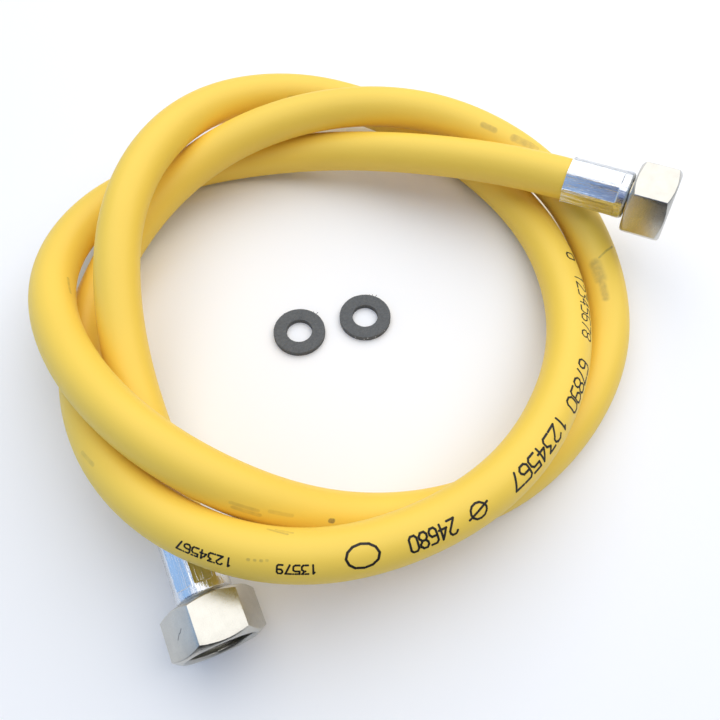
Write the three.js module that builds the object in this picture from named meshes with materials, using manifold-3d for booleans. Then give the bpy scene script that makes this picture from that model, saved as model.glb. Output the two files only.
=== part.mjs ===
// Flexible gas hose: a 1.5 m hose with a crimped fitting and a swivel union nut at each end,
// lying in a loose coil of two and a half turns, with its two sealing washers inside the coil.
// Millimetres, +Z up. The origin is on the floor, midway between the two end fittings.
import * as THREE from 'three';
import { NURBSCurve } from 'three/addons/curves/NURBSCurve.js';
import { mergeVertices } from 'three/addons/utils/BufferGeometryUtils.js';
import Module from 'manifold-3d';

const wasm = await Module();
wasm.setup();

// Clearances
const fitGap = 0.3; // between pieces that touch on the real hose
const cutOver = 2; // how far a cutting shape runs past what it cuts

// Hose: a soft tube of one wall, squeezed to a smaller diameter under each ferrule
const hoseDiameter = 15;
const hoseWall = 2.5;
const squeeze = 0.7; // taken off the hose's radius by the crimp
const gripLength = 17.2; // of hose inside each ferrule
const hoseSides = 12;
const hoseSteps = 80;

// Ferrule: a sleeve pressed by eight jaws, with a round band and a turned-in lip at the nut's end
const ferruleWall = 1.2; // before pressing
const ferruleLength = 22.4;
const panelCount = 8;
const panelDepth = 0.5; // how far a jaw presses in the middle of its panel
const panelEnd = 18.6; // where the jaws stop and the round band begins
const jawSlope = 0.7; // length of the step from a panel up to the band
const shoulderRadius = 1.4;
const lipThickness = 1.8;
const mouthFlare = 0.25; // how far the sleeve opens at the hose's edge
const mouthFlareLength = 0.9;

// Insert: a turned stem with barbs in the hose, a collar under the lip, a neck and a sealing flange
const stemBoreRadius = 3.2;
const barbCount = 4;
const barbDepth = 0.7;
const barbStart = 1.6;
const collarLength = 2.6;
const neckRadius = 6.2;
const flangeRadius = 9.1;
const flangeThickness = 2.6;
const edgeBreak = 0.4;

// Union nut: a hexagon that turns freely behind the flange
const nutAcrossFlats = 24;
const nutLength = 14;
const nutFaceRadius = 11.2; // of the round face inside each chamfer
const nutChamferAngle = THREE.MathUtils.degToRad(30);
const nutLipThickness = 2.6;
const threadClearance = 0.5; // between the flange and the nut's bore, which stands for the thread
const nutLeadIn = 0.9;
const nutStandOff = 0.5; // between the ferrule and the nut's back

// Sealing washers
const washerRadius = 9.45;
const washerHoleRadius = 4.7;
const washerThickness = 2.2;
const washerEdge = 0.15;
const washerPlaces = [[-49.3, 30.0], [-25.2, 36.6]];

// Facets
const turnedSegments = 36;
const nutSegments = 48;

// The two ends: where the hose enters the ferrule, and which way the fitting points
const nearEnd = {
  mouth: new THREE.Vector3(-80.1, -46.8, 15.78),
  yaw: -65.9,
  pitch: -4,
  ferruleRoll: 7.5,
  nutRoll: -14,
};
const farEnd = {
  mouth: new THREE.Vector3(48.5, 78.35, 29.8),
  yaw: -26.4,
  pitch: 5.8,
  ferruleRoll: 29.4,
  nutRoll: 10.9,
};

// Control points of the hose's course, from the near fitting to the far one, as it lies on the floor
const course = [
  [-103.7, 4, 22.2], [-111.5, 47.8, 37], [-103.7, 90.4, 36.4], [-84, 125.4, 26.2], [-47, 141, 16.5],
  [-7.5, 130.8, 8.3], [25, 102.8, 6.8], [45, 67.8, 9], [47.8, 25, 15.6], [35, -11.8, 24.8],
  [12.3, -42, 28.8], [-31.2, -62.2, 31.4], [-71.6, -57.2, 33.4], [-103, -33.2, 29.9], [-123, 7.8, 14.2],
  [-124.2, 48.8, 6.8], [-106, 83.8, 15.5], [-74.5, 106.2, 25.8], [-35, 119.8, 28], [5.8, 118, 26.4],
  [42.8, 98, 19.3], [62.4, 69.3, 9.2], [65, 26.7, 7.3], [46.8, -9.4, 7.8], [16, -37.1, 7.1],
  [-26.4, -45.2, 13], [-58.4, -44.2, 34.1], [-93, -27.8, 44.3], [-125.2, 9.6, 31], [-138, 47.3, 20],
  [-127, 83.8, 12.4], [-95.8, 107.8, 5.6], [-49, 111.3, 10.7], [-11, 99.4, 22.4],
];
const straightLead = [2, -22]; // control points on the fitting's own line, in it and in front of it

// Places along a fitting's axis, measured from the ferrule's mouth towards the nut
const hoseRadius = hoseDiameter / 2;
const hoseBoreRadius = hoseRadius - hoseWall;
const squeezedRadius = hoseRadius - squeeze;
const ferruleInner = squeezedRadius + fitGap;
const ferruleOuter = ferruleInner + ferruleWall;
const lipHoleRadius = neckRadius + fitGap;
const lipStart = ferruleLength - lipThickness;
const collarEnd = lipStart - fitGap;
const collarStart = collarEnd - collarLength;
const collarRadius = ferruleInner - fitGap;
const nutBack = ferruleLength + nutStandOff;
const flangeStart = nutBack + nutLipThickness + fitGap;
const flangeEnd = flangeStart + flangeThickness;
const nutBoreRadius = flangeRadius + threadClearance;
const nutFront = nutBack + nutLength;
const barbRadius = hoseBoreRadius - fitGap;

const finishes = {
  hose: { color: 0xf4c642, roughness: 0.55, metalness: 0 },
  zinc: { color: 0xd2d5d8, roughness: 0.22, metalness: 1 },
  brass: { color: 0xcfc6ae, roughness: 0.3, metalness: 1 },
  nickel: { color: 0xcdc8bd, roughness: 0.35, metalness: 1 },
  gasket: { color: 0x4b4d4f, roughness: 0.8, metalness: 0 },
};

function material(finish) {
  return new THREE.MeshStandardMaterial(finishes[finish]);
}

function solidFrom(geometry) {
  const plain = geometry.clone();
  plain.deleteAttribute('normal');
  plain.deleteAttribute('uv');
  const merged = mergeVertices(plain, 1e-4);
  return new wasm.Manifold(new wasm.Mesh({
    numProp: 3,
    vertProperties: new Float32Array(merged.attributes.position.array),
    triVerts: new Uint32Array(merged.index.array),
  }));
}

function geometryFrom(solid) {
  const mesh = solid.getMesh();
  const geometry = new THREE.BufferGeometry();
  geometry.setAttribute('position', new THREE.BufferAttribute(mesh.vertProperties, 3));
  geometry.setIndex(new THREE.BufferAttribute(mesh.triVerts, 1));
  geometry.computeVertexNormals();
  return geometry;
}

// A turned form about +Z. The outline is a list of [radius, place along the axis], outer side first.
function turned(outline, segments = turnedSegments) {
  const points = outline.map(([radius, along]) => new THREE.Vector2(radius, along));
  points.push(points[0].clone());
  return new THREE.LatheGeometry(points, segments).rotateX(Math.PI / 2);
}

function cylinderAlong(radius, from, to, segments = turnedSegments) {
  return turned([[0, from], [radius, from], [radius, to], [0, to]], segments);
}

// Points of a quarter round in a turned outline, from the outside face to the end face
function quarterRound(outer, end, radius, steps) {
  return Array.from({ length: steps + 1 }, (unused, step) => {
    const angle = (step / steps) * Math.PI / 2;
    return [
      outer - radius + radius * Math.cos(angle),
      end - radius + radius * Math.sin(angle),
    ];
  });
}

function regularPolygon(radius, sides, turn) {
  const shape = new THREE.Shape();
  for (let side = 0; side < sides; side += 1) {
    const angle = turn + (side / sides) * 2 * Math.PI;
    const x = radius * Math.cos(angle);
    const y = radius * Math.sin(angle);
    if (side === 0) shape.moveTo(x, y);
    else shape.lineTo(x, y);
  }
  shape.closePath();
  return shape;
}

// Ferrule: a round sleeve, with eight panels pressed in between its mouth and its end band
function ferruleGeometry() {
  const sleeve = turned([
    [ferruleOuter + mouthFlare, 0],
    [ferruleOuter, mouthFlareLength],
    ...quarterRound(ferruleOuter, ferruleLength, shoulderRadius, 5),
    [lipHoleRadius, ferruleLength],
    [lipHoleRadius, lipStart],
    [ferruleInner, lipStart],
    [ferruleInner, mouthFlareLength],
    [ferruleInner + mouthFlare, 0],
  ], nutSegments);
  const panelRadius = (ferruleOuter - panelDepth) / Math.cos(Math.PI / panelCount);
  const clearRadius = (ferruleOuter + cutOver) / Math.cos(Math.PI / panelCount);
  const jaws = turned([
    [0, -cutOver],
    [panelRadius, -cutOver],
    [panelRadius, panelEnd],
    [panelRadius + panelDepth * 2, panelEnd + jawSlope],
    [clearRadius, panelEnd + jawSlope],
    [clearRadius, ferruleLength + cutOver],
    [0, ferruleLength + cutOver],
  ], panelCount);
  return geometryFrom(solidFrom(sleeve).intersect(solidFrom(jaws)));
}

// Insert: barbs rise slowly towards the nut and drop sharply, so that the hose can't slide off
function insertGeometry() {
  const valleyRadius = barbRadius - barbDepth;
  const barbPitch = (collarStart - barbStart) / barbCount;
  const barbs = [];
  for (let barb = 0; barb < barbCount; barb += 1) {
    const start = barbStart + barb * barbPitch;
    barbs.push([valleyRadius, start]);
    barbs.push([barbRadius, start + barbPitch * 0.75]);
    barbs.push([valleyRadius, start + barbPitch * 0.8]);
  }
  return turned([
    ...barbs,
    [valleyRadius, collarStart],
    [collarRadius - edgeBreak, collarStart],
    [collarRadius, collarStart + edgeBreak],
    [collarRadius, collarEnd],
    [neckRadius, collarEnd],
    [neckRadius, flangeStart],
    [flangeRadius - edgeBreak, flangeStart],
    [flangeRadius, flangeStart + edgeBreak],
    [flangeRadius, flangeEnd - edgeBreak],
    [flangeRadius - edgeBreak, flangeEnd],
    [stemBoreRadius + edgeBreak, flangeEnd],
    [stemBoreRadius, flangeEnd - edgeBreak],
    [stemBoreRadius, barbStart],
  ]);
}

// Union nut: a hexagon with both ends chamfered, bored for its thread and left with a lip at the back
function nutGeometry() {
  const cornerRadius = nutAcrossFlats / Math.sqrt(3);
  const drop = (cornerRadius - nutFaceRadius) * Math.tan(nutChamferAngle);
  const hexagon = new THREE.ExtrudeGeometry(regularPolygon(cornerRadius, 6, Math.PI / 6), {
    depth: nutLength,
    bevelEnabled: false,
  }).translate(0, 0, nutBack);
  const rounded = turned([
    [0, nutBack],
    [nutFaceRadius, nutBack],
    [cornerRadius + drop, nutBack + drop + drop * Math.tan(nutChamferAngle)],
    [cornerRadius + drop, nutFront - drop - drop * Math.tan(nutChamferAngle)],
    [nutFaceRadius, nutFront],
    [0, nutFront],
  ], nutSegments);
  const bore = turned([
    [0, nutBack + nutLipThickness],
    [nutBoreRadius, nutBack + nutLipThickness],
    [nutBoreRadius, nutFront - nutLeadIn],
    [nutBoreRadius + nutLeadIn + cutOver, nutFront + cutOver],
    [0, nutFront + cutOver],
  ], nutSegments);
  const lipHole = cylinderAlong(lipHoleRadius, nutBack - cutOver, nutFront);
  return geometryFrom(
    solidFrom(hexagon)
      .intersect(solidFrom(rounded))
      .subtract(solidFrom(bore))
      .subtract(solidFrom(lipHole)),
  );
}

function washerGeometry() {
  return turned([
    [washerRadius - washerEdge, 0],
    [washerRadius, washerEdge],
    [washerRadius, washerThickness - washerEdge],
    [washerRadius - washerEdge, washerThickness],
    [washerHoleRadius, washerThickness],
    [washerHoleRadius, 0],
  ]);
}

function mesh(name, geometry, finish) {
  const piece = new THREE.Mesh(geometry, material(finish));
  piece.name = name;
  return piece;
}

// A group whose +Z is the fitting's axis and whose origin is the ferrule's mouth
function fittingFrame(end) {
  const frame = new THREE.Group();
  const yaw = THREE.MathUtils.degToRad(end.yaw);
  const pitch = THREE.MathUtils.degToRad(end.pitch);
  frame.position.copy(end.mouth);
  frame.rotation.set(0, Math.PI / 2 - pitch, yaw, 'ZYX');
  frame.updateMatrixWorld(true);
  return frame;
}

function fitting(prefix, end) {
  const frame = fittingFrame(end);
  const ferrule = mesh(`${prefix}_ferrule`, ferruleGeometry(), 'zinc');
  ferrule.rotation.z = THREE.MathUtils.degToRad(end.ferruleRoll);
  const insert = mesh(`${prefix}_insert`, insertGeometry(), 'brass');
  const nut = mesh(`${prefix}_nut`, nutGeometry(), 'nickel');
  nut.rotation.z = THREE.MathUtils.degToRad(end.nutRoll);
  frame.add(ferrule, insert, nut);
  return frame;
}

// The hose's centre line: a smooth cubic curve that starts and ends along the fittings' axes
function centreLine() {
  const onAxis = (frame, along) => frame.localToWorld(new THREE.Vector3(0, 0, along));
  const near = fittingFrame(nearEnd);
  const far = fittingFrame(farEnd);
  const controls = [
    ...[gripLength, ...straightLead].map((along) => onAxis(near, along)),
    ...course.map((point) => new THREE.Vector3(...point)),
    ...[gripLength, ...straightLead].reverse().map((along) => onAxis(far, along)),
  ];
  const degree = 3;
  const spans = controls.length - degree;
  const inner = Array.from({ length: spans - 1 }, (unused, index) => (index + 1) / spans);
  const knots = [...Array(degree + 1).fill(0), ...inner, ...Array(degree + 1).fill(1)];
  const line = new NURBSCurve(
    degree,
    knots,
    controls.map((point) => new THREE.Vector4(point.x, point.y, point.z, 1)),
  );
  line.arcLengthDivisions = hoseSteps * 12;
  return line;
}

// The hose: a tube along its centre line, with each end squeezed down where its ferrule grips it
function hoseGeometry() {
  const section = regularPolygon(hoseRadius, hoseSides, 0);
  section.holes.push(regularPolygon(hoseBoreRadius / Math.cos(Math.PI / hoseSides), hoseSides, 0));
  const tube = new THREE.ExtrudeGeometry(section, {
    steps: hoseSteps,
    bevelEnabled: false,
    extrudePath: centreLine(),
  });
  const cut = turned([
    [squeezedRadius, -fitGap],
    [hoseRadius + cutOver, -fitGap],
    [hoseRadius + cutOver, gripLength + cutOver],
    [squeezedRadius, gripLength + cutOver],
  ]);
  const squeezed = [nearEnd, farEnd].reduce(
    (solid, end) => solid.subtract(solidFrom(cut.clone().applyMatrix4(fittingFrame(end).matrixWorld))),
    solidFrom(tube),
  );
  return geometryFrom(squeezed);
}

const gasHose = new THREE.Group();
gasHose.add(mesh('hose', hoseGeometry(), 'hose'));
gasHose.add(fitting('near', nearEnd));
gasHose.add(fitting('far', farEnd));
washerPlaces.forEach(([x, y], index) => {
  const washer = mesh(`washer_${index + 1}`, washerGeometry(), 'gasket');
  washer.position.set(x, y, 0);
  gasHose.add(washer);
});

export default gasHose;
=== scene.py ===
import math

import bmesh
import bpy
from bpy.props import FloatProperty, FloatVectorProperty, IntProperty, PointerProperty
from mathutils import Matrix, Vector


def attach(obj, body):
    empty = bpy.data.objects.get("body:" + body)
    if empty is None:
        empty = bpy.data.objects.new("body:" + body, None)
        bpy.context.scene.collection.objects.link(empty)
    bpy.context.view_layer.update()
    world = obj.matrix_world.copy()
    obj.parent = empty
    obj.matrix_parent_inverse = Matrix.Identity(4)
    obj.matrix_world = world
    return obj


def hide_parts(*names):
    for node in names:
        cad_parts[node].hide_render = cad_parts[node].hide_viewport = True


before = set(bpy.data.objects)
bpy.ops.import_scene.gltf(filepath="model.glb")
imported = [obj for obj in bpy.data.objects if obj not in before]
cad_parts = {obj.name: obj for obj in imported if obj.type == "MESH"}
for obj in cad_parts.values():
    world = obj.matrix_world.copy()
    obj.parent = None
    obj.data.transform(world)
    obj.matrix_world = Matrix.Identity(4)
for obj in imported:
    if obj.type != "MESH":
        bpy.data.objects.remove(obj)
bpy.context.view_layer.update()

bl_info = {
    "name": "Flexible gas hose",
    "version": (1, 0, 0),
    "blender": (4, 5, 0),
    "location": "3D View > Sidebar > Gas hose",
    "description": "A flexible gas hose in a loose coil, with crimped fittings, union nuts and washers",
    "category": "Object",
}

MM = 0.001

# Where the hose enters each ferrule, which way that fitting points, and how its pieces are turned
NEAR = {"mouth": (-0.0801, -0.0468, 0.01578), "yaw": -65.9, "pitch": -4.0, "ferrule": 7.5, "nut": -14.0}
FAR = {"mouth": (0.0485, 0.07835, 0.0298), "yaw": -26.4, "pitch": 5.8, "ferrule": 29.4, "nut": 130.9}
ENDS = {"near": NEAR, "far": FAR}

# Places along a fitting's axis, from the ferrule's mouth
GRIP_LENGTH = 17.2 * MM
SQUEEZE_FADE = 0.8 * MM
FERRULE_LENGTH = 22.4 * MM
PANEL_END = 19.2 * MM
COLLAR = (17.7 * MM, 20.3 * MM)
NUT_BACK = 22.9 * MM
FLANGE = (25.8 * MM, 28.4 * MM)
WASHER_PLACES = ((-49.3 * MM, 30.0 * MM), (-25.2 * MM, 36.6 * MM))

# Control points of the hose's course, from the near fitting to the far one
COURSE = [
    (-0.1037, 0.004, 0.0222), (-0.1115, 0.0478, 0.037), (-0.1037, 0.0904, 0.0364), (-0.084, 0.1254, 0.0262),
    (-0.047, 0.141, 0.0165), (-0.0075, 0.1308, 0.0083), (0.025, 0.1028, 0.0068), (0.045, 0.0678, 0.009),
    (0.0478, 0.025, 0.0156), (0.035, -0.0118, 0.0248), (0.0123, -0.042, 0.0288), (-0.0312, -0.0622, 0.0314),
    (-0.0716, -0.0572, 0.0334), (-0.103, -0.0332, 0.0299), (-0.123, 0.0078, 0.0142), (-0.1242, 0.0488, 0.0068),
    (-0.106, 0.0838, 0.0155), (-0.0745, 0.1062, 0.0258), (-0.035, 0.1198, 0.028), (0.0058, 0.118, 0.0264),
    (0.0428, 0.098, 0.0193), (0.0624, 0.0693, 0.0092), (0.065, 0.0267, 0.0073), (0.0468, -0.0094, 0.0078),
    (0.016, -0.0371, 0.0071), (-0.0264, -0.0452, 0.013), (-0.0584, -0.0442, 0.0341), (-0.093, -0.0278, 0.0443),
    (-0.1252, 0.0096, 0.031), (-0.138, 0.0473, 0.02), (-0.127, 0.0838, 0.0124), (-0.0958, 0.1078, 0.0056),
    (-0.049, 0.1113, 0.0107), (-0.011, 0.0994, 0.0224),
]
LEADS = (0.002, -0.022)
FINE_STEPS = 4000

# Strokes of the printed numbers on a grid four wide and six high
GRID = (4, 6)
RING = [
    (0, 3), (0.3, 4.5), (1, 5.6), (2, 6), (3, 5.6), (3.7, 4.5), (4, 3), (3.7, 1.5), (3, 0.4), (2, 0),
    (1, 0.4), (0.3, 1.5), (0, 3),
]
DIGITS = {
    "0": [[(1, 0), (0, 1), (0, 5), (1, 6), (3, 6), (4, 5), (4, 1), (3, 0), (1, 0)]],
    "1": [[(1, 5), (2, 6), (2, 0)]],
    "2": [[(0, 5), (1, 6), (3, 6), (4, 5), (4, 4), (0, 0), (4, 0)]],
    "3": [[(0, 6), (4, 6), (2, 4), (4, 3), (4, 1), (3, 0), (0, 0)]],
    "4": [[(3, 0), (3, 6), (0, 2), (4, 2)]],
    "5": [[(4, 6), (0, 6), (0, 4), (3, 4), (4, 3), (4, 1), (3, 0), (0, 0)]],
    "6": [[(4, 6), (1, 6), (0, 5), (0, 1), (1, 0), (3, 0), (4, 1), (4, 2), (3, 3), (0, 3)]],
    "7": [[(0, 6), (4, 6), (1, 0)]],
    "8": [[(1, 3), (0, 4), (0, 5), (1, 6), (3, 6), (4, 5), (4, 4), (3, 3), (1, 3)],
          [(1, 3), (0, 2), (0, 1), (1, 0), (3, 0), (4, 1), (4, 2), (3, 3)]],
    "9": [[(0, 0), (3, 0), (4, 1), (4, 5), (3, 6), (1, 6), (0, 5), (0, 4), (1, 3), (4, 3)]],
    "o": [RING],
    "/": [RING, [(-0.65, 1.65), (4.65, 4.35)]],
}

# Printed rows: plain numbers, place of the first along the hose in millimetres, turn from its top in degrees,
# pitch, width and height in millimetres, and dot size as a share of the ink dot
PRINT = [
    ("0", 377.2, -33, 3.7, 3.0, 3.4, 1.2), ("12345678", 388.0, -38, 3.7, 2.8, 4.4, 1.0),
    ("67890", 426.8, -41, 3.95, 3.1, 5.0, 1.3), ("1234567", 451.0, -34, 3.9, 3.1, 4.8, 1.4),
    ("/", 487.3, -33, 6.0, 5.0, 4.6, 1.3), ("24680", 497.2, -35, 2.8, 2.1, 4.5, 1.3),
    ("o", 518.6, -28, 8.8, 8.8, 6.6, 1.4), ("13579", 534.8, -42, 2.05, 1.45, 2.5, 1.05),
    ("1234567", 555.6, -45, 2.15, 1.5, 2.5, 1.05),
]
DOT_SPACING = 0.36

# Marks on the cover: place along the hose in millimetres and turn from its top in degrees, of both ends,
# then width and softness in millimetres, and strength
MARKS = [
    (868, 27, 873, 25, 0.7, 0.8, 0.40), (881, 14, 888, 2, 1.1, 1.0, 0.38), (887, -2, 890, -4, 0.7, 0.7, 0.30),
    (944, 33, 951, 27, 0.9, 2.2, 0.42), (949, 28, 960, 20, 0.4, 1.5, 0.45), (942, 18, 939.5, -8, 0.2, 0.35, 0.5),
    (939.5, -8, 937.5, -36, 0.2, 0.35, 0.6), (1103.9, -30, 1104.6, -30, 0.5, 0.4, 0.95),
    (1231, 68, 1239, 60, 0.3, 0.4, 0.35), (548.3, 44, 542.5, 33, 0.22, 0.3, 0.4),
    (546, 46, 541, 38, 0.2, 0.3, 0.3), (603, -30, 609, -38, 0.4, 0.4, 0.25),
    (228, 68, 231, 67, 0.8, 0.8, 0.3), (551.4, -30, 551.6, -30, 0.25, 0.3, 0.5),
    (549.8, -29, 550, -29, 0.2, 0.3, 0.45), (548.2, -28, 548.4, -28, 0.25, 0.3, 0.4),
    (546.8, -26, 547, -26, 0.2, 0.3, 0.35), (1131, -56, 1124, -53, 0.35, 0.5, 0.30),
    (1132, -47, 1125, -44, 0.3, 0.5, 0.28), (1116, -34, 1122, -37, 0.3, 0.5, 0.2),
]

# A crooked scratch on one face of each nut, in the nut's own coordinates in millimetres: the near nut
# shows it, and the far nut is turned to hide it
SCRATCH = [(-7.5, -9.5, 28.9), (-6.7, -10.0, 29.7), (-6.2, -10.3, 29.8), (-5.1, -10.9, 31.0)]

# Torn fibre ends on the washers' rims, by bearing and length, and pale flecks on the second one's rim, by
# bearing and height, in degrees and millimetres
FIBRES = {1: [(52, 1.3), (60, 0.6), (128, 0.5)], 2: [(74, 0.9), (66, 1.3), (80, 0.6), (115, 0.5)]}
FLECKS = [(-112, 1.2), (-92, 0.9), (-84, 1.6), (-66, 1.2), (-40, 1.5), (-150, 1.4)]

# The even light of the room, and its bluer patches: heading, where a patch starts and is full, as cosines,
# and its colour
ROOM_COLOUR = (0.89, 0.955, 1.06, 1.0)
ROOM = [
    ((-0.90, -0.25, 0.36), 0.60, 0.97, (0.95, 1.52, 2.40, 1.0)),
    ((-0.30, -0.72, 0.63), 0.80, 0.95, (0.60, 0.76, 1.27, 1.0)),
]

# The main lamp, and the dark card in front of the hose that only mirroring pieces see
LAMP = {"spot": (0.10, 0.30, 0.66), "target": (-0.02, 0.05, 0.0), "size": 1.45, "colour": (1.0, 0.975, 0.94)}
CARD = {"size": (0.24, 0.12, 1.0), "spot": (-0.02, -0.125, 0.06), "colour": (0.004, 0.004, 0.004, 1.0)}
SHEET_SIZE = 6.0


class HoseSettings(bpy.types.PropertyGroup):
    diameter: FloatProperty(
        name="Outside diameter", description="Across the hose's cover", default=15 * MM, unit="LENGTH")
    bore: FloatProperty(
        name="Bore", description="Inside diameter, where the gas flows", default=10 * MM, unit="LENGTH")
    squeeze: FloatProperty(
        name="Squeeze", description="Taken off the radius under each ferrule", default=0.7 * MM,
        unit="LENGTH")
    sides: IntProperty(name="Sides", description="Faces round the hose", default=48, min=12)
    step: FloatProperty(
        name="Step", description="Length of each face along the hose", default=2.5 * MM, unit="LENGTH")
    dot: FloatProperty(
        name="Ink dot", description="Radius of one dot of the print", default=0.28 * MM, unit="LENGTH")
    cover: FloatVectorProperty(
        name="Cover", description="Colour of the hose's cover", subtype="COLOR", size=4,
        default=(0.96, 0.66, 0.09, 1.0))
    worn: FloatVectorProperty(
        name="Smudge", description="Colour of the rubbed and sooty marks", subtype="COLOR", size=4,
        default=(0.11, 0.09, 0.06, 1.0))
    ink: FloatVectorProperty(
        name="Ink", description="Colour of the printed numbers", subtype="COLOR", size=4,
        default=(0.012, 0.011, 0.010, 1.0))


class FerruleSettings(bpy.types.PropertyGroup):
    radius: FloatProperty(
        name="Radius", description="Outside, before pressing", default=8.3 * MM, unit="LENGTH")
    wall: FloatProperty(name="Wall", description="Thickness of the sleeve", default=1.2 * MM, unit="LENGTH")
    panels: IntProperty(name="Panels", description="Faces pressed by the jaws", default=8, min=4)
    depth: FloatProperty(
        name="Depth", description="How far a jaw presses in at its middle", default=0.5 * MM, unit="LENGTH")
    lip: FloatProperty(
        name="Lip", description="Radius of the hole in the turned-in end", default=6.5 * MM, unit="LENGTH")
    lip_length: FloatProperty(
        name="Lip length", description="Thickness of the turned-in end", default=1.8 * MM, unit="LENGTH")
    shoulder: FloatProperty(
        name="Shoulder", description="Rounding at the nut's end", default=1.4 * MM, unit="LENGTH")
    zinc: FloatVectorProperty(
        name="Zinc", description="Colour of the bright plating", subtype="COLOR", size=4,
        default=(0.80, 0.825, 0.86, 1.0))


class InsertSettings(bpy.types.PropertyGroup):
    gas_way: FloatProperty(name="Gas way", description="Radius of the bore", default=3.2 * MM, unit="LENGTH")
    stem: FloatProperty(name="Stem", description="Radius between the barbs", default=4.0 * MM, unit="LENGTH")
    barb: FloatProperty(name="Barb", description="Radius over the barbs", default=4.7 * MM, unit="LENGTH")
    collar: FloatProperty(
        name="Collar", description="Radius inside the ferrule's lip", default=6.8 * MM, unit="LENGTH")
    neck: FloatProperty(
        name="Neck", description="Radius that the nut turns on", default=6.2 * MM, unit="LENGTH")
    flange: FloatProperty(
        name="Flange", description="Radius of the sealing flange", default=9.1 * MM, unit="LENGTH")
    plating: FloatVectorProperty(
        name="Plating", description="Colour of the plated brass", subtype="COLOR", size=4,
        default=(0.66, 0.60, 0.47, 1.0))


class NutSettings(bpy.types.PropertyGroup):
    across_flats: FloatProperty(
        name="Across flats", description="Of each union nut", default=24 * MM, unit="LENGTH")
    length: FloatProperty(name="Length", description="From back to mouth", default=14 * MM, unit="LENGTH")
    face: FloatProperty(
        name="Round face", description="Radius of the face inside each chamfer", default=11.2 * MM,
        unit="LENGTH")
    root: FloatProperty(
        name="Thread root", description="Radius of the pipe thread at its root", default=10.45 * MM,
        unit="LENGTH")
    crest: FloatProperty(
        name="Thread crest", description="Radius of the pipe thread at its crest", default=9.35 * MM,
        unit="LENGTH")
    pitch: FloatProperty(
        name="Thread pitch", description="Of a half-inch pipe thread", default=1.814 * MM, unit="LENGTH")
    wall: FloatProperty(name="Back wall", description="Behind the bore", default=2.6 * MM, unit="LENGTH")
    hole: FloatProperty(
        name="Hole", description="Radius round the insert's neck", default=6.5 * MM, unit="LENGTH")
    chamfer: FloatProperty(
        name="Chamfer", description="Slope of the cut corners", default=math.radians(30), subtype="ANGLE")
    nickel: FloatVectorProperty(
        name="Nickel", description="Colour of the satin plating", subtype="COLOR", size=4,
        default=(0.61, 0.595, 0.545, 1.0))


class WasherSettings(bpy.types.PropertyGroup):
    radius: FloatProperty(name="Radius", description="Outside", default=9.45 * MM, unit="LENGTH")
    hole: FloatProperty(name="Hole", description="Radius of the gas way", default=4.7 * MM, unit="LENGTH")
    thickness: FloatProperty(name="Thickness", description="Of the fibre", default=2.2 * MM, unit="LENGTH")
    fibre: FloatVectorProperty(
        name="Fibre", description="Colour of the washers", subtype="COLOR", size=4,
        default=(0.118, 0.124, 0.128, 1.0))


class StageSettings(bpy.types.PropertyGroup):
    focal: FloatProperty(name="Focal length", description="Of the camera, in mm", default=36.05)
    target: FloatVectorProperty(
        name="Target", description="Where the camera looks", subtype="TRANSLATION", size=3,
        default=(-0.027, 0.019, 0.0))
    eye: FloatVectorProperty(
        name="Eye", description="Where the camera stands", subtype="TRANSLATION", size=3,
        default=(-0.027, -0.1067, 0.2285))
    roll: FloatProperty(
        name="Roll", description="The camera's tilt", default=math.radians(0.29), subtype="ANGLE")
    floor: FloatVectorProperty(
        name="Floor", description="Colour of the sheet by the light that it gives back", subtype="COLOR",
        size=4, default=(0.76, 0.76, 0.76, 1.0))
    seen: FloatVectorProperty(
        name="Floor as seen", description="Colour of the sheet, seen straight or mirrored", subtype="COLOR",
        size=4, default=(0.95, 0.95, 0.95, 1.0))
    key: FloatProperty(name="Key light", description="Power of the main lamp, in watts", default=7.6)
    sky: FloatProperty(name="Room light", description="Strength of the even light", default=0.425)


def deselect():
    if bpy.context.mode != "OBJECT":
        bpy.ops.object.mode_set(mode="OBJECT")
    bpy.ops.object.select_all(action="DESELECT")


def activate(*pieces):
    deselect()
    for piece in pieces:
        piece.select_set(True)
    bpy.context.view_layer.objects.active = pieces[0]


def edit_all(piece):
    activate(piece)
    bpy.ops.object.mode_set(mode="EDIT")
    bpy.ops.mesh.select_all(action="SELECT")


def turned(name, outline, segments, solid=False):
    """A turned form about +Z: a circle drawn out ring by ring along points of radius and height."""
    radius, height = outline[0]
    deselect()
    bpy.ops.mesh.primitive_circle_add(
        vertices=segments, radius=radius, fill_type="NGON" if solid else "NOTHING")
    piece = bpy.context.active_object
    piece.name = name
    edit_all(piece)
    bpy.ops.transform.translate(value=(0, 0, height))
    for next_radius, next_height in outline[1:]:
        bpy.ops.mesh.extrude_region_move(TRANSFORM_OT_translate={"value": (0, 0, next_height - height)})
        grow = next_radius / radius
        bpy.ops.transform.resize(value=(grow, grow, 1), center_override=(0, 0, 0))
        radius, height = next_radius, next_height
    if not solid:
        bpy.ops.mesh.select_all(action="DESELECT")
        bpy.ops.mesh.select_non_manifold()
        bpy.ops.mesh.bridge_edge_loops()
    bpy.ops.mesh.select_all(action="SELECT")
    bpy.ops.mesh.normals_make_consistent(inside=False)
    bpy.ops.object.mode_set(mode="OBJECT")
    return piece


def apply_modifier(piece, kind, **values):
    activate(piece)
    bpy.ops.object.modifier_add(type=kind)
    modifier = piece.modifiers[-1]
    for key, value in values.items():
        setattr(modifier, key, value)
    bpy.ops.object.modifier_apply(modifier=modifier.name)


def combine(piece, tool, operation):
    apply_modifier(piece, "BOOLEAN", operation=operation, object=tool, solver="EXACT")
    bpy.data.objects.remove(tool)


def soften(piece, width, segments, limit, smooth):
    """Rounds every edge sharper than the limit, and shades the rest smooth."""
    apply_modifier(
        piece, "BEVEL", width=width, segments=segments, limit_method="ANGLE", angle_limit=math.radians(limit))
    activate(piece)
    bpy.ops.object.shade_smooth_by_angle(angle=math.radians(smooth))


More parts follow.
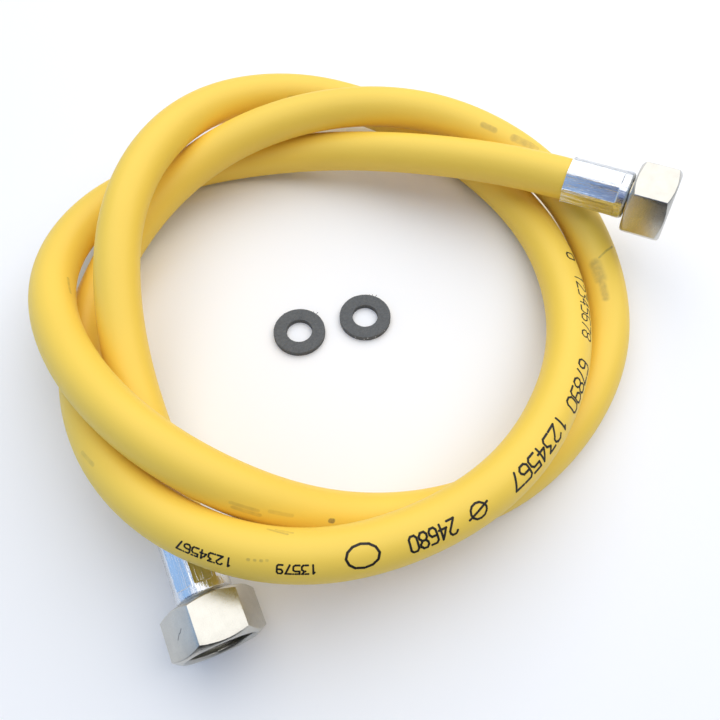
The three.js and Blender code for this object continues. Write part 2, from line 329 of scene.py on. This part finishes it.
def quarter_round(outer, end, radius, steps):
    """Points from the outside face round to the end face."""
    angles = [math.pi / 2 * i / steps for i in range(steps + 1)]
    return [(outer - radius + radius * math.cos(a), end - radius + radius * math.sin(a)) for a in angles]


def copy_of(piece, name):
    """A copy of a modelled shape, for the next place where it repeats."""
    activate(piece)
    bpy.ops.object.duplicate()
    other = bpy.context.active_object
    other.name = name
    return other


def place(piece, name, matrix, body, node, material):
    """Writes the piece's own coordinates down, then puts it in its place and on its body."""
    local = piece.data.attributes.new("local", "FLOAT_VECTOR", "POINT")
    for vertex, entry in zip(piece.data.vertices, local.data):
        entry.vector = vertex.co
    activate(piece)
    piece.matrix_world = matrix
    bpy.ops.object.transform_apply(location=True, rotation=True, scale=True)
    piece.name = name
    piece.data.name = name
    piece.data.materials.clear()
    piece.data.materials.append(material)
    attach(piece, body)
    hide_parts(node)


def fit_both_ends(piece, kind, finish, material, body):
    """Places a fitting's piece at the near end and its copy at the far one, each at its own turn."""
    pieces = {"near": piece, "far": copy_of(piece, kind)}
    for name, fitted in pieces.items():
        end = ENDS[name]
        place(
            fitted, f"{name}_{kind}_{finish}", fitting_matrix(end, end.get(kind, 0.0)),
            body.format(end=name), f"{name}_{kind}", material)


def fitting_matrix(end, turn=0.0):
    lay = Matrix.Translation(Vector(end["mouth"]))
    yaw = Matrix.Rotation(math.radians(end["yaw"]), 4, "Z")
    lean = Matrix.Rotation(math.pi / 2 - math.radians(end["pitch"]), 4, "Y")
    return lay @ yaw @ lean @ Matrix.Rotation(math.radians(turn), 4, "Z")


def on_axis(end, along):
    return fitting_matrix(end) @ Vector((0, 0, along))


def spline_point(controls, knots, place_on):
    """A point of the clamped cubic curve, by repeated blending of its control points."""
    degree = 3
    last = len(controls) - 1
    span = min(max(sum(1 for knot in knots if knot <= place_on) - 1, degree), last)
    points = [controls[span - degree + i].copy() for i in range(degree + 1)]
    for level in range(1, degree + 1):
        for i in range(degree, level - 1, -1):
            low = knots[span - degree + i]
            high = knots[i + 1 + span - level]
            points[i] = points[i - 1].lerp(points[i], (place_on - low) / (high - low))
    return points[degree]


def centre_line(step):
    """The hose's centre line, in points an even step apart, and its length."""
    controls = [on_axis(NEAR, along) for along in (GRIP_LENGTH, *LEADS)]
    controls += [Vector(point) for point in COURSE]
    controls += [on_axis(FAR, along) for along in (*reversed(LEADS), GRIP_LENGTH)]
    spans = len(controls) - 3
    knots = [0.0] * 4 + [i / spans for i in range(1, spans)] + [1.0] * 4
    fine = [spline_point(controls, knots, i / FINE_STEPS) for i in range(FINE_STEPS + 1)]
    run = [0.0]
    for a, b in zip(fine, fine[1:]):
        run.append(run[-1] + (b - a).length)
    count = round(run[-1] / step)
    points = []
    k = 0
    for i in range(count + 1):
        goal = run[-1] * i / count
        while k < len(run) - 2 and run[k + 1] < goal:
            k += 1
        points.append(fine[k].lerp(fine[k + 1], (goal - run[k]) / (run[k + 1] - run[k])))
    return points, run[-1]


def section_frame(points, i):
    """Forward, up and side directions at a point of the hose's centre line."""
    ahead = (points[min(i + 1, len(points) - 1)] - points[max(i - 1, 0)]).normalized()
    up = (Vector((0, 0, 1)) - ahead * ahead.z).normalized()
    return ahead, up, ahead.cross(up)


def skin_matrix(points, length, along, turn, radius):
    """A frame on the hose's surface: x along it, y round it towards the outer side, z outwards."""
    at = along / length * (len(points) - 1)
    i = min(int(at), len(points) - 2)
    ahead, up, side = section_frame(points, i)
    centre = points[i].lerp(points[i + 1], at - i)
    out = up * math.cos(turn) + side * math.sin(turn)
    across = out.cross(ahead)
    place_on = centre + out * radius
    return Matrix((
        (ahead.x, across.x, out.x, place_on.x),
        (ahead.y, across.y, out.y, place_on.y),
        (ahead.z, across.z, out.z, place_on.z),
        (0, 0, 0, 1),
    ))


def new_material(name):
    material = bpy.data.materials.new(name)
    material.use_nodes = True
    return material, material.node_tree, material.node_tree.nodes["Principled BSDF"]


def feed(tree, socket, value):
    """Links an output socket to the input, or writes a plain value into it."""
    if isinstance(value, bpy.types.NodeSocket):
        tree.links.new(value, socket)
    else:
        socket.default_value = value


def add_node(tree, kind, **inputs):
    """A node with its settings and inputs filled in; i0, i1 and so on are inputs by their number."""
    node = tree.nodes.new(kind)
    for key, value in inputs.items():
        if key in ("operation", "attribute_name", "interpolation_type"):
            setattr(node, key, value)
        elif key[0] == "i" and key[1:].isdigit():
            feed(tree, node.inputs[int(key[1:])], value)
        else:
            feed(tree, node.inputs[key], value)
    return node


def math_node(tree, operation, first, second=0.0):
    return add_node(tree, "ShaderNodeMath", operation=operation, i0=first, i1=second).outputs[0]


def highest(tree, masks):
    """The strongest of several masks at each point."""
    top = masks[0]
    for mask in masks[1:]:
        top = math_node(tree, "MAXIMUM", top, mask)
    return top


def stroke_group():
    """A shared mask: one inside a stroke from start to end, falling off over its soft edge."""
    group = bpy.data.node_groups.get("stroke_mask")
    if group:
        return group
    group = bpy.data.node_groups.new("stroke_mask", "ShaderNodeTree")
    for name in ("Point", "Start", "End"):
        group.interface.new_socket(name=name, in_out="INPUT", socket_type="NodeSocketVector")
    for name in ("Width", "Softness"):
        group.interface.new_socket(name=name, in_out="INPUT", socket_type="NodeSocketFloat")
    group.interface.new_socket(name="Mask", in_out="OUTPUT", socket_type="NodeSocketFloat")
    given = group.nodes.new("NodeGroupInput").outputs
    result = group.nodes.new("NodeGroupOutput")
    vector = "ShaderNodeVectorMath"
    reach = add_node(group, vector, operation="SUBTRACT", i0=given["End"], i1=given["Start"]).outputs[0]
    offset = add_node(group, vector, operation="SUBTRACT", i0=given["Point"], i1=given["Start"]).outputs[0]
    along = add_node(group, vector, operation="DOT_PRODUCT", i0=offset, i1=reach).outputs["Value"]
    whole = add_node(group, vector, operation="DOT_PRODUCT", i0=reach, i1=reach).outputs["Value"]
    share = math_node(group, "DIVIDE", along, math_node(group, "MAXIMUM", whole, 1e-6))
    share = math_node(group, "MINIMUM", math_node(group, "MAXIMUM", share, 0.0), 1.0)
    nearest = add_node(group, vector, operation="SCALE", i0=reach, Scale=share).outputs[0]
    gap = add_node(group, vector, operation="DISTANCE", i0=offset, i1=nearest).outputs["Value"]
    past = math_node(group, "DIVIDE", math_node(group, "SUBTRACT", gap, given["Width"]), given["Softness"])
    fade = add_node(
        group, "ShaderNodeMapRange", interpolation_type="SMOOTHSTEP",
        i0=past, i1=0.0, i2=1.0, i3=1.0, i4=0.0).outputs[0]
    group.links.new(fade, result.inputs["Mask"])
    return group


def stroke(tree, point, start, end, width, softness):
    node = tree.nodes.new("ShaderNodeGroup")
    node.node_tree = stroke_group()
    tree.links.new(point, node.inputs["Point"])
    node.inputs["Start"].default_value = start
    node.inputs["End"].default_value = end
    node.inputs["Width"].default_value = width
    node.inputs["Softness"].default_value = softness
    return node.outputs["Mask"]


def local_point(tree, stretch=(1.0, 1.0, 1.0)):
    """The piece's own coordinates in millimetres, stretched for a directional grain."""
    local = add_node(tree, "ShaderNodeAttribute", attribute_name="local").outputs["Vector"]
    scale = [value / MM for value in stretch]
    return add_node(tree, "ShaderNodeVectorMath", operation="MULTIPLY", i0=local, i1=scale).outputs[0]


def noise(tree, point, scale, detail=3.0, roughness=0.55):
    return add_node(
        tree, "ShaderNodeTexNoise", Vector=point, Scale=scale, Detail=detail, Roughness=roughness).outputs[0]


def between(tree, value, low, high):
    """The value, spread from its usual middle range over low to high."""
    return add_node(
        tree, "ShaderNodeMapRange", i0=value, i1=0.3, i2=0.7, i3=low, i4=high).outputs[0]


def mixed(tree, factor, first, second):
    node = tree.nodes.new("ShaderNodeMix")
    node.data_type = "RGBA"
    for index, value in ((0, factor), (6, first), (7, second)):
        feed(tree, node.inputs[index], value)
    return node.outputs[2]


def dented(tree, shader, height, distance, strength):
    bump = add_node(tree, "ShaderNodeBump", Height=height, Distance=distance, Strength=strength)
    tree.links.new(bump.outputs[0], shader.inputs["Normal"])


def shade(colour, factor):
    return (colour[0] * factor, colour[1] * factor, colour[2] * factor, 1.0)


def cover_material(settings):
    """The yellow cover with its marks, laid out flat in millimetres along and round the hose."""
    material, tree, shader = new_material("hose_cover")
    course = tree.nodes.new("ShaderNodeUVMap")
    course.uv_map = "course"
    parts = add_node(tree, "ShaderNodeSeparateXYZ", i0=course.outputs[0]).outputs
    half_way = math_node(tree, "FRACT", math_node(tree, "ADD", parts[1], 0.5))
    girth = math.pi * settings.diameter / MM
    round_it = math_node(tree, "MULTIPLY", math_node(tree, "SUBTRACT", half_way, 0.5), girth)
    along = math_node(tree, "MULTIPLY", parts[0], 1 / MM)
    skin = add_node(tree, "ShaderNodeCombineXYZ", i0=along, i1=round_it).outputs[0]
    position = tree.nodes.new("ShaderNodeTexCoord").outputs["Object"]
    patches = between(tree, noise(tree, position, 22.0, 2.0), 0.0, 1.0)
    colour = mixed(tree, patches, settings.cover, shade(settings.cover, 0.965))
    broken = between(tree, noise(tree, skin, 0.45, 4.0, 0.6), 0.45, 1.0)
    masks = []
    for start, start_turn, end, end_turn, width, softness, strength in MARKS:
        first = (start, start_turn / 360.0 * girth, 0.0)
        last = (end, end_turn / 360.0 * girth, 0.0)
        masks.append(math_node(tree, "MULTIPLY", stroke(tree, skin, first, last, width, softness), strength))
    dirt = math_node(tree, "MULTIPLY", highest(tree, masks), broken)
    tree.links.new(mixed(tree, dirt, colour, settings.worn), shader.inputs["Base Color"])
    shader.inputs["Specular IOR Level"].default_value = 0.42
    fine = noise(tree, position, 900.0, 2.0)
    tree.links.new(between(tree, fine, 0.42, 0.5), shader.inputs["Roughness"])
    dented(tree, shader, noise(tree, position, 260.0, 3.0), 0.02 * MM, 0.5)
    return material


def plain_material(name, colour, roughness):
    material, _, shader = new_material(name)
    shader.inputs["Base Color"].default_value = colour
    shader.inputs["Roughness"].default_value = roughness
    return material


def zinc_material(settings):
    """Bright plating, drawn into faint streaks along the ferrule by the jaws."""
    material, tree, shader = new_material("ferrule_zinc")
    shader.inputs["Metallic"].default_value = 1.0
    streaks = noise(tree, local_point(tree, (1.0, 1.0, 0.06)), 1.1, 4.0, 0.6)
    cloud = noise(tree, local_point(tree), 0.35, 2.0)
    tint = mixed(tree, between(tree, streaks, 0.0, 0.6), settings.zinc, shade(settings.zinc, 0.70))
    tree.links.new(tint, shader.inputs["Base Color"])
    tree.links.new(between(tree, cloud, 0.13, 0.24), shader.inputs["Roughness"])
    dented(tree, shader, streaks, 0.30 * MM, 0.9)
    return material


def nickel_material(settings):
    """Satin plating with a fine grain, and one scratched place."""
    material, tree, shader = new_material("nut_nickel")
    shader.inputs["Metallic"].default_value = 1.0
    point = local_point(tree)
    grain = noise(tree, point, 3.6, 4.0, 0.7)
    cloud = noise(tree, point, 0.28, 3.0)
    tint = mixed(tree, between(tree, cloud, 0.0, 0.7), settings.nickel, shade(settings.nickel, 0.86))
    scratch = highest(tree, [stroke(tree, point, *ends, 0.10, 0.14) for ends in zip(SCRATCH, SCRATCH[1:])])
    tint = mixed(tree, math_node(tree, "MULTIPLY", scratch, 0.75), tint, (0.10, 0.10, 0.105, 1.0))
    tree.links.new(tint, shader.inputs["Base Color"])
    tree.links.new(between(tree, grain, 0.24, 0.36), shader.inputs["Roughness"])
    dented(tree, shader, grain, 0.06 * MM, 0.5)
    return material


def brass_material(settings):
    """Plated brass, with the fine rings that a lathe leaves."""
    material, tree, shader = new_material("insert_plating")
    shader.inputs["Metallic"].default_value = 1.0
    shader.inputs["Base Color"].default_value = settings.plating
    lathe = noise(tree, local_point(tree, (0.2, 0.2, 6.0)), 1.6, 2.0)
    tree.links.new(between(tree, lathe, 0.22, 0.34), shader.inputs["Roughness"])
    return material


def fibre_material(settings, name, flecks):
    """Matt pressed fibre, with pale flecks on its rim where it tore."""
    material, tree, shader = new_material(name)
    point = local_point(tree)
    grain = noise(tree, point, 1.6, 5.0, 0.7)
    dark, light = shade(settings.fibre, 0.75), shade(settings.fibre, 1.25)
    tint = mixed(tree, between(tree, grain, 0.0, 1.0), dark, light)
    for bearing, height in flecks:
        x = settings.radius / MM * math.cos(math.radians(bearing))
        y = settings.radius / MM * math.sin(math.radians(bearing))
        mask = stroke(tree, point, [x, y, height], [x * 0.97, y * 0.97, height + 0.2], 0.16, 0.2)
        tint = mixed(tree, math_node(tree, "MULTIPLY", mask, 0.8), tint, (0.72, 0.72, 0.72, 1.0))
    tree.links.new(tint, shader.inputs["Base Color"])
    shader.inputs["Roughness"].default_value = 0.85
    shader.inputs["Specular IOR Level"].default_value = 0.3
    dented(tree, shader, grain, 0.12 * MM, 0.6)
    return material


class HOSE_OT_cord(bpy.types.Operator):
    """Makes the hose: one tube along its course, squeezed under each ferrule"""

    bl_idname = "gas_hose.cord"
    bl_label = "Hose"

    def execute(self, context):
        s = context.scene.gas_hose
        points, length = centre_line(s.step)
        mesh = bpy.data.meshes.new("hose_tube")
        hose = bpy.data.objects.new("hose_tube", mesh)
        context.scene.collection.objects.link(hose)
        bm = bmesh.new()
        uv = bm.loops.layers.uv.new("course")
        rings = {"outer": [], "inner": []}
        for i, point in enumerate(points):
            ahead, up, side = section_frame(points, i)
            run = length * i / (len(points) - 1)
            inside = GRIP_LENGTH + SQUEEZE_FADE / 2 - min(run, length - run)
            grip = min(max(inside / SQUEEZE_FADE, 0.0), 1.0)
            for wall, radius in (("outer", s.diameter / 2 - s.squeeze * grip), ("inner", s.bore / 2)):
                ring = []
                for j in range(s.sides):
                    turn = 2 * math.pi * j / s.sides
                    ring.append(bm.verts.new(point + (up * math.cos(turn) + side * math.sin(turn)) * radius))
                rings[wall].append(ring)
        for wall in ("outer", "inner"):
            for i in range(len(points) - 1):
                for j in range(s.sides):
                    a, b = rings[wall][i], rings[wall][i + 1]
                    k = (j + 1) % s.sides
                    corners = [(a[j], i, j), (a[k], i, j + 1), (b[k], i + 1, j + 1), (b[j], i + 1, j)]
                    face = bm.faces.new([corner[0] for corner in corners])
                    face.smooth = True
                    for loop, corner in zip(face.loops, corners):
                        loop[uv].uv = (length * corner[1] / (len(points) - 1), corner[2] / s.sides)
        for i in (0, -1):
            for j in range(s.sides):
                k = (j + 1) % s.sides
                bm.faces.new(
                    [rings["outer"][i][j], rings["outer"][i][k], rings["inner"][i][k], rings["inner"][i][j]])
        bm.to_mesh(mesh)
        bm.free()
        edit_all(hose)
        bpy.ops.mesh.normals_make_consistent(inside=False)
        bpy.ops.object.mode_set(mode="OBJECT")
        mesh.materials.append(cover_material(s))
        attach(hose, "hose_assembly")
        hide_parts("hose")
        return {"FINISHED"}


def stroke_dots(digit, width, height):
    """Even places for ink dots along a digit's strokes, in millimetres."""
    places = []
    for line in DIGITS[digit]:
        for (x_a, y_a), (x_b, y_b) in zip(line, line[1:]):
            a = Vector((x_a / GRID[0] * width, y_a / GRID[1] * height))
            b = Vector((x_b / GRID[0] * width, y_b / GRID[1] * height))
            count = max(round((b - a).length / DOT_SPACING), 1)
            places += [tuple(a.lerp(b, i / count)) for i in range(count + 1)]
    return places


class HOSE_OT_print(bpy.types.Operator):
    """Prints rows of plain numbers along the cover, one ink dot at a time"""

    bl_idname = "gas_hose.print"
    bl_label = "Printed numbers"

    def execute(self, context):
        s = context.scene.gas_hose
        points, length = centre_line(s.step)
        deselect()
        bpy.ops.mesh.primitive_cylinder_add(vertices=8, radius=s.dot, depth=0.06 * MM)
        dot = context.active_object
        corners = [vertex.co.copy() for vertex in dot.data.vertices]
        faces = [tuple(face.vertices) for face in dot.data.polygons]
        bpy.data.objects.remove(dot)
        vertices, polygons = [], []
        for text, start, turn, pitch, width, height, size in PRINT:
            for index, digit in enumerate(text):
                for x, y in stroke_dots(digit, width, height):
                    along = (start + index * pitch + x) * MM
                    around = math.radians(turn) - (y - height / 2) * MM / (s.diameter / 2)
                    lay = skin_matrix(points, length, along, around, s.diameter / 2)
                    polygons += [tuple(len(vertices) + i for i in face) for face in faces]
                    vertices += [lay @ (corner * size) for corner in corners]
        mesh = bpy.data.meshes.new("hose_print")
        mesh.from_pydata(vertices, [], polygons)
        rows = bpy.data.objects.new("hose_print", mesh)
        context.scene.collection.objects.link(rows)
        mesh.materials.append(plain_material("print_ink", s.ink, 0.6))
        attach(rows, "hose_assembly")
        return {"FINISHED"}


class HOSE_OT_ferrules(bpy.types.Operator):
    """Makes the pressed ferrules: a turned sleeve, then eight jaws pressed into it"""

    bl_idname = "gas_hose.ferrules"
    bl_label = "Ferrules"

    def execute(self, context):
        s = context.scene.gas_ferrules
        inner = s.radius - s.wall
        flare = 0.25 * MM
        lip_start = FERRULE_LENGTH - s.lip_length
        sleeve = turned("ferrule_sleeve", [
            (s.radius + flare, 0.0),
            (s.radius + flare * 0.6, 0.35 * MM),
            (s.radius, 1.1 * MM),
            *quarter_round(s.radius, FERRULE_LENGTH, s.shoulder, 8),
            (s.lip, FERRULE_LENGTH),
            (s.lip, lip_start),
            (inner, lip_start),
            (inner, 0.9 * MM),
            (inner + flare, 0.0),
        ], 128)
        apothem = s.radius - s.depth
        ridge = 0.12 * MM
        breadth = 2 * apothem * math.tan(math.pi / s.panels) - ridge
        thickness = 4 * MM
        overhang = 4 * MM
        deselect()
        bpy.ops.mesh.primitive_cube_add(size=1.0)
        jaw = context.active_object
        edit_all(jaw)
        bpy.ops.transform.resize(value=(thickness, breadth, PANEL_END + overhang), center_override=(0, 0, 0))
        bpy.ops.transform.translate(value=(apothem + thickness / 2, 0, (PANEL_END - overhang) / 2))
        bpy.ops.mesh.bevel(offset=0.75 * MM, segments=5, affect="EDGES")
        bpy.ops.object.mode_set(mode="OBJECT")
        jaws = [jaw, *(copy_of(jaw, "jaw") for _ in range(s.panels - 1))]
        for i, pressed in enumerate(jaws):
            bearing = math.pi / s.panels * (2 * i + 1)
            edit_all(pressed)
            bpy.ops.transform.rotate(value=bearing, orient_axis="Z", center_override=(0, 0, 0))
        activate(*jaws)
        bpy.ops.object.join()
        combine(sleeve, context.active_object, "DIFFERENCE")
        soften(sleeve, 0.22 * MM, 3, 11, 50)
        fit_both_ends(sleeve, "ferrule", "pressed", zinc_material(s), "hose_assembly")
        return {"FINISHED"}


class HOSE_OT_inserts(bpy.types.Operator):
    """Makes the turned inserts, with their barbs, collar, neck and sealing flange"""

    bl_idname = "gas_hose.inserts"
    bl_label = "Inserts"

    def execute(self, context):
        s = context.scene.gas_inserts
        cut_end = 1.6 * MM
        slope, pitch = 3.0 * MM, 4.02 * MM
        barbs = []
        for i in range(4):
            start = cut_end + i * pitch
            barbs += [(s.stem, start), (s.barb, start + slope), (s.stem, start + slope + 0.2 * MM)]
        insert = turned("insert_turned", [
            *barbs,
            (s.stem, COLLAR[0]),
            (s.collar, COLLAR[0]),
            (s.collar, COLLAR[1]),
            (s.neck, COLLAR[1]),
            (s.neck, FLANGE[0]),
            (s.flange, FLANGE[0]),
            (s.flange, FLANGE[1]),
            (s.gas_way, FLANGE[1]),
            (s.gas_way, cut_end),
        ], 96)
        soften(insert, 0.25 * MM, 2, 40, 35)
        fit_both_ends(insert, "insert", "turned", brass_material(s), "hose_assembly")
        return {"FINISHED"}


class HOSE_OT_nuts(bpy.types.Operator):
    """Makes the union nuts: a chamfered hexagon, bored, with its pipe thread inside"""

    bl_idname = "gas_hose.nuts"
    bl_label = "Union nuts"

    def execute(self, context):
        s = context.scene.gas_nuts
        corner = s.across_flats / math.sqrt(3)
        front = NUT_BACK + s.length
        reach = corner + 1.5 * MM
        drop = (reach - s.face) * math.tan(s.chamfer)
        deselect()
        bpy.ops.mesh.primitive_cylinder_add(vertices=6, radius=corner, depth=s.length)
        nut = context.active_object
        edit_all(nut)
        bpy.ops.transform.translate(value=(0, 0, NUT_BACK + s.length / 2))
        bpy.ops.object.mode_set(mode="OBJECT")
        chamfers = turned("nut_chamfers", [
            (s.face, NUT_BACK), (reach, NUT_BACK + drop), (reach, front - drop), (s.face, front),
        ], 96, solid=True)
        combine(nut, chamfers, "INTERSECT")
        land = s.crest + 0.5 * MM
        mouth = s.root + 0.1 * MM
        bore = turned("nut_bore", [
            (s.root, NUT_BACK + s.wall), (s.root, front - 1.7 * MM), (land, front - 1.2 * MM),
            (land, front - 0.8 * MM), (mouth, front), (mouth, front + 1 * MM),
        ], 96, solid=True)
        combine(nut, bore, "DIFFERENCE")
        hole = turned("nut_hole", [(s.hole, NUT_BACK - 2 * MM), (s.hole, NUT_BACK + 5 * MM)], 96, solid=True)
        combine(nut, hole, "DIFFERENCE")
        soften(nut, 0.16 * MM, 2, 24, 28)
        tooth, sunk = 0.76 * MM, 0.34 * MM
        deselect()
        bpy.ops.mesh.primitive_circle_add(
            vertices=3, radius=tooth, rotation=(math.pi / 2, -math.pi / 2, 0),
            location=(s.root - sunk, 0, FLANGE[1] + 0.5 * MM))
        thread = context.active_object
        bpy.ops.object.transform_apply(location=True, rotation=True, scale=True)
        apply_modifier(thread, "SCREW", axis="Z", iterations=4, steps=48, screw_offset=s.pitch)
        edit_all(thread)
        bpy.ops.mesh.fill_holes(sides=3)
        bpy.ops.mesh.normals_make_consistent(inside=False)
        bpy.ops.object.mode_set(mode="OBJECT")
        activate(nut, thread)
        bpy.ops.object.join()
        fit_both_ends(nut, "nut", "threaded", nickel_material(s), "{end}_nut_body")
        return {"FINISHED"}


def torn_fibre(settings, bearing, size):
    """A thin pointed fibre standing out from a washer's rim."""
    deselect()
    base, tip, sunk, lean = 0.16 * MM, 0.04 * MM, 0.15 * MM, math.radians(68)
    bpy.ops.mesh.primitive_cone_add(vertices=6, radius1=base, radius2=tip, depth=size * MM)
    fibre = bpy.context.active_object
    edit_all(fibre)
    bpy.ops.transform.rotate(value=lean, orient_axis="Y", center_override=(0, 0, 0))
    reach = settings.radius + size / 2 * MM - sunk
    bpy.ops.transform.translate(value=(reach, 0, settings.thickness * 0.75))
    bpy.ops.transform.rotate(value=-math.radians(bearing), orient_axis="Z", center_override=(0, 0, 0))
    bpy.ops.object.mode_set(mode="OBJECT")
    return fibre


class HOSE_OT_washers(bpy.types.Operator):
    """Makes the sealing washers, stamped from fibre with slightly rough rims"""

    bl_idname = "gas_hose.washers"
    bl_label = "Washers"

    def execute(self, context):
        s = context.scene.gas_washers
        edge, unevenness = 0.12 * MM, 0.06 * MM
        low = 0.05 * MM
        high = s.thickness - low
        for number, (x, y) in enumerate(WASHER_PLACES, 1):
            material = fibre_material(s, f"gasket_fibre_{number}", FLECKS if number == 2 else [])
            washer = turned("washer", [
                (s.radius - edge, low),
                (s.radius, low + edge),
                (s.radius, high - edge),
                (s.radius - edge, high),
                (s.hole + edge, high),
                (s.hole, high - edge),
                (s.hole, low),
            ], 120)
            edit_all(washer)
            bpy.ops.transform.vertex_random(offset=unevenness, seed=number)
            bpy.ops.object.mode_set(mode="OBJECT")
            threads = [torn_fibre(s, bearing, size) for bearing, size in FIBRES[number]]
            activate(washer, *threads)
            bpy.ops.object.join()
            bpy.ops.object.shade_smooth_by_angle(angle=math.radians(35))
            place(
                washer, f"washer_{number}_stamped", Matrix.Translation((x, y, 0)),
                "hose_assembly", f"washer_{number}", material)
        return {"FINISHED"}


class HOSE_OT_camera(bpy.types.Operator):
    """Places the camera at the photograph's angle"""

    bl_idname = "gas_hose.camera"
    bl_label = "Camera"

    def execute(self, context):
        s = context.scene.gas_stage
        eye = Vector(s.eye)
        forward = (Vector(s.target) - eye).normalized()
        right = forward.cross(Vector((0, 0, 1))).normalized()
        up = right.cross(forward)
        right, up = (
            right * math.cos(s.roll) + up * math.sin(s.roll),
            up * math.cos(s.roll) - right * math.sin(s.roll),
        )
        data = bpy.data.cameras.new("camera")
        data.sensor_width = 36.0
        data.lens = s.focal
        data.clip_start = 0.01
        data.clip_end = 20.0
        camera = bpy.data.objects.new("camera", data)
        camera.matrix_world = Matrix((
            (right.x, up.x, -forward.x, eye.x),
            (right.y, up.y, -forward.y, eye.y),
            (right.z, up.z, -forward.z, eye.z),
            (0, 0, 0, 1),
        ))
        context.scene.collection.objects.link(camera)
        context.scene.camera = camera
        return {"FINISHED"}


def add_lamp(power):
    data = bpy.data.lights.new("key", "AREA")
    data.shape = "DISK"
    data.size = LAMP["size"]
    data.energy = power
    data.color = LAMP["colour"]
    lamp = bpy.data.objects.new("key", data)
    lamp.location = LAMP["spot"]
    towards = Vector(LAMP["target"]) - Vector(LAMP["spot"])
    lamp.rotation_euler = towards.to_track_quat("-Z", "Y").to_euler()
    bpy.context.scene.collection.objects.link(lamp)


def add_card():
    """A dark card that gives the plated faces on its side something dark to mirror, as a room does."""
    deselect()
    bpy.ops.mesh.primitive_plane_add(size=1.0)
    card = bpy.context.active_object
    card.name = "flag"
    edit_all(card)
    bpy.ops.transform.resize(value=CARD["size"], center_override=(0, 0, 0))
    bpy.ops.transform.rotate(value=math.pi / 2, orient_axis="X", center_override=(0, 0, 0))
    bpy.ops.transform.translate(value=CARD["spot"])
    bpy.ops.object.mode_set(mode="OBJECT")
    card.visible_camera = False
    card.visible_diffuse = False
    card.visible_shadow = False
    card.data.materials.append(plain_material("flag_black", CARD["colour"], 0.9))


def light_room(scene, strength):
    """The world's even light with its patches."""
    world = bpy.data.worlds.new("studio")
    scene.world = world
    world.use_nodes = True
    tree = world.node_tree
    background = tree.nodes["Background"]
    direction = tree.nodes.new("ShaderNodeTexCoord").outputs["Generated"]
    colour = ROOM_COLOUR
    for heading, start, full, patch in ROOM:
        facing = add_node(
            tree, "ShaderNodeVectorMath", operation="DOT_PRODUCT", i0=direction, i1=heading).outputs["Value"]
        zone = add_node(
            tree, "ShaderNodeMapRange", interpolation_type="SMOOTHSTEP",
            i0=facing, i1=start, i2=full, i3=0.0, i4=1.0).outputs[0]
        colour = mixed(tree, zone, colour, patch)
    tree.links.new(colour, background.inputs["Color"])
    background.inputs["Strength"].default_value = strength


def floor_material(settings):
    """A white sheet that looks whiter than the light it throws back on the hose."""
    material, tree, shader = new_material("floor_white")
    path = tree.nodes.new("ShaderNodeLightPath").outputs
    seen = math_node(tree, "MAXIMUM", path["Is Camera Ray"], path["Is Glossy Ray"])
    seen = math_node(tree, "MAXIMUM", seen, path["Is Transmission Ray"])
    tree.links.new(mixed(tree, seen, settings.floor, settings.seen), shader.inputs["Base Color"])
    shader.inputs["Roughness"].default_value = 0.9
    return material


class HOSE_OT_stage(bpy.types.Operator):
    """Lays the white sheet and sets the light of the room"""

    bl_idname = "gas_hose.stage"
    bl_label = "Stage"

    def execute(self, context):
        s = context.scene.gas_stage
        deselect()
        bpy.ops.mesh.primitive_plane_add(size=SHEET_SIZE)
        floor = context.active_object
        floor.name = "floor"
        floor.data.materials.append(floor_material(s))
        light_room(context.scene, s.sky)
        add_lamp(s.key)
        add_card()
        context.scene.view_settings.view_transform = "Standard"
        return {"FINISHED"}


class HOSE_PT_panel(bpy.types.Panel):
    """Sizes, colours and pieces of the gas hose"""

    bl_label = "Gas hose"
    bl_space_type = "VIEW_3D"
    bl_region_type = "UI"
    bl_category = "Gas hose"

    def draw(self, context):
        for settings in SETTINGS:
            group = getattr(context.scene, settings)
            box = self.layout.box()
            for name in group.bl_rna.properties.keys():
                if name not in ("rna_type", "name"):
                    box.prop(group, name)
        for operator in STEPS:
            self.layout.operator(operator.bl_idname)


SETTINGS = {
    "gas_hose": HoseSettings,
    "gas_ferrules": FerruleSettings,
    "gas_inserts": InsertSettings,
    "gas_nuts": NutSettings,
    "gas_washers": WasherSettings,
    "gas_stage": StageSettings,
}
STEPS = (
    HOSE_OT_camera, HOSE_OT_ferrules, HOSE_OT_inserts, HOSE_OT_nuts, HOSE_OT_print, HOSE_OT_cord,
    HOSE_OT_washers, HOSE_OT_stage,
)
CLASSES = (*SETTINGS.values(), *STEPS, HOSE_PT_panel)


def register():
    for cls in CLASSES:
        bpy.utils.register_class(cls)
    for name, group in SETTINGS.items():
        setattr(bpy.types.Scene, name, PointerProperty(type=group))


def unregister():
    for name in SETTINGS:
        delattr(bpy.types.Scene, name)
    for cls in reversed(CLASSES):
        bpy.utils.unregister_class(cls)


def main():
    register()
    bpy.ops.gas_hose.camera()
    bpy.ops.gas_hose.ferrules()
    bpy.ops.gas_hose.inserts()
    bpy.ops.gas_hose.nuts()
    bpy.ops.gas_hose.print()
    bpy.ops.gas_hose.cord()
    bpy.ops.gas_hose.washers()
    bpy.ops.gas_hose.stage()


if __name__ == "__main__":
    main()
